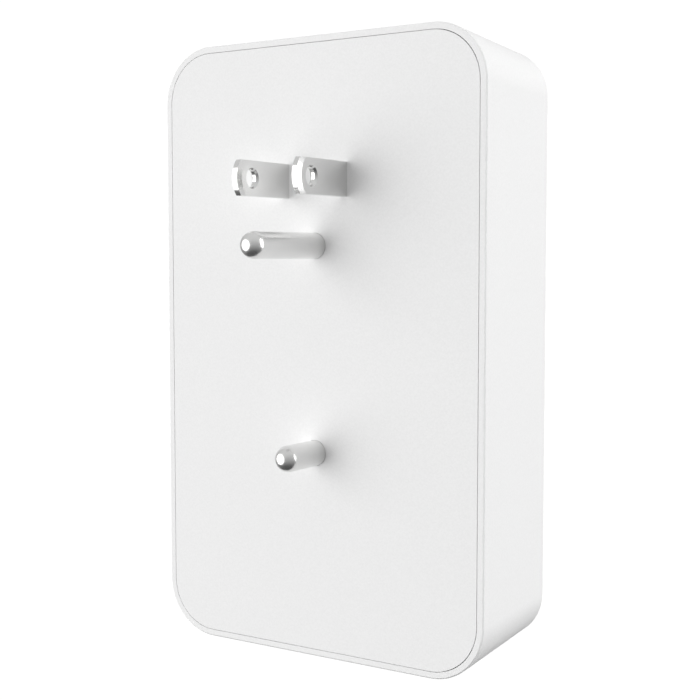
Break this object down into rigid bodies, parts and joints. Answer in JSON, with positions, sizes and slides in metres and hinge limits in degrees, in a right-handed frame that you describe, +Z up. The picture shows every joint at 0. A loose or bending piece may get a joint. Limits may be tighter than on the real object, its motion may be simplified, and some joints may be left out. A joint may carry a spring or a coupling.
{
  "type": "plug-in power meter",
  "caption": "Plug-in mains power meter in a rounded box: blades and pins on the wall side, display, keys and an outlet on the front.",
  "frame": {"origin": "midway between the two plug blades, on the outer face of the rear cover, which rests against the wall outlet", "axes": "+Z up, +Y out of the back towards the wall, +X to the right for someone who faces the display"},
  "size_m": [0.0698, 0.0498, 0.1143],
  "materials": {
    "white_plastic": "fine matte moulded",
    "inner_plastic": "natural moulded",
    "plated_brass": "satin nickel plate",
    "contact_brass": "stamped",
    "steel": "zinc plated",
    "circuit_board": "solder mask",
    "black_plastic": "moulded",
    "window_clear": "clear polished",
    "lcd": "polarised glass",
    "key_plastic": "fine matte",
    "silicone": "matte",
    "light_guide": "clear",
    "led": "potted",
    "capacitor_yellow": "moulded",
    "varistor_blue": "dipped",
    "cell_sleeve": "shrink sleeve",
    "shunt_alloy": "bare",
    "fuse_ceramic": "ceramic",
    "wire_black": "insulated",
    "wire_white": "insulated",
    "wire_green": "insulated"
  },
  "bodies": {
    "meter": {"front_housing": "white_plastic", "rear_cover": "white_plastic", "line_blade": "plated_brass", "neutral_blade": "plated_brass", "ground_pin": "plated_brass", "retaining_pin": "plated_brass", "prong_clamp": "inner_plastic", "prong_clamp_screw_1": "steel", "prong_clamp_screw_2": "steel", "pin_keeper": "inner_plastic", "pin_keeper_screw_1": "steel", "pin_keeper_screw_2": "steel", "socket_face": "white_plastic", "socket_carrier": "inner_plastic", "carrier_screw_1": "steel", "carrier_screw_2": "steel", "line_contact": "contact_brass", "neutral_contact": "contact_brass", "ground_contact": "contact_brass", "power_board": "circuit_board", "power_board_screw_1": "steel", "power_board_screw_2": "steel", "power_board_screw_3": "steel", "power_board_screw_4": "steel", "display_board": "circuit_board", "display_board_screw_1": "steel", "display_board_screw_2": "steel", "display_board_screw_3": "steel", "display_board_screw_4": "steel", "display_window": "window_clear", "lcd_glass": "lcd", "lcd_frame": "black_plastic", "contact_strip": "silicone", "light_guide": "light_guide", "backlight_led": "led", "mode_key_dome": "silicone", "down_key_dome": "silicone", "up_key_dome": "silicone", "reset_key_dome": "silicone", "fuse": "fuse_ceramic", "varistor": "varistor_blue", "film_capacitor": "capacitor_yellow", "smoothing_capacitor": "black_plastic", "bridge_rectifier": "black_plastic", "supply_regulator": "black_plastic", "backup_cell": "cell_sleeve", "metering_chip": "black_plastic", "shunt": "shunt_alloy", "board_header": "black_plastic", "board_socket": "black_plastic", "controller_chip": "black_plastic", "line_wire": "wire_black", "neutral_wire": "wire_white", "ground_wire": "wire_green"},
    "mode_button": {"mode_key": "key_plastic"},
    "down_button": {"down_key": "key_plastic"},
    "up_button": {"up_key": "key_plastic"},
    "reset_button": {"reset_key": "key_plastic"}
  },
  "joints": [
    {"name": "mode_press", "type": "slide", "parent": "meter", "child": "mode_button", "axis": [0, 1, 0], "range_m": [0, 0.0008], "stiffness_N_per_m": 1500, "springref_m": -0.0003, "deforming": ["mode_key_dome"]},
    {"name": "down_press", "type": "slide", "parent": "meter", "child": "down_button", "axis": [0, 1, 0], "range_m": [0, 0.0008], "stiffness_N_per_m": 1500, "springref_m": -0.0003, "deforming": ["down_key_dome"]},
    {"name": "up_press", "type": "slide", "parent": "meter", "child": "up_button", "axis": [0, 1, 0], "range_m": [0, 0.0008], "stiffness_N_per_m": 1500, "springref_m": -0.0003, "deforming": ["up_key_dome"]},
    {"name": "reset_press", "type": "slide", "parent": "meter", "child": "reset_button", "axis": [0, 1, 0], "range_m": [0, 0.0008], "stiffness_N_per_m": 1500, "springref_m": -0.0003, "deforming": ["reset_key_dome"]}
  ]
}
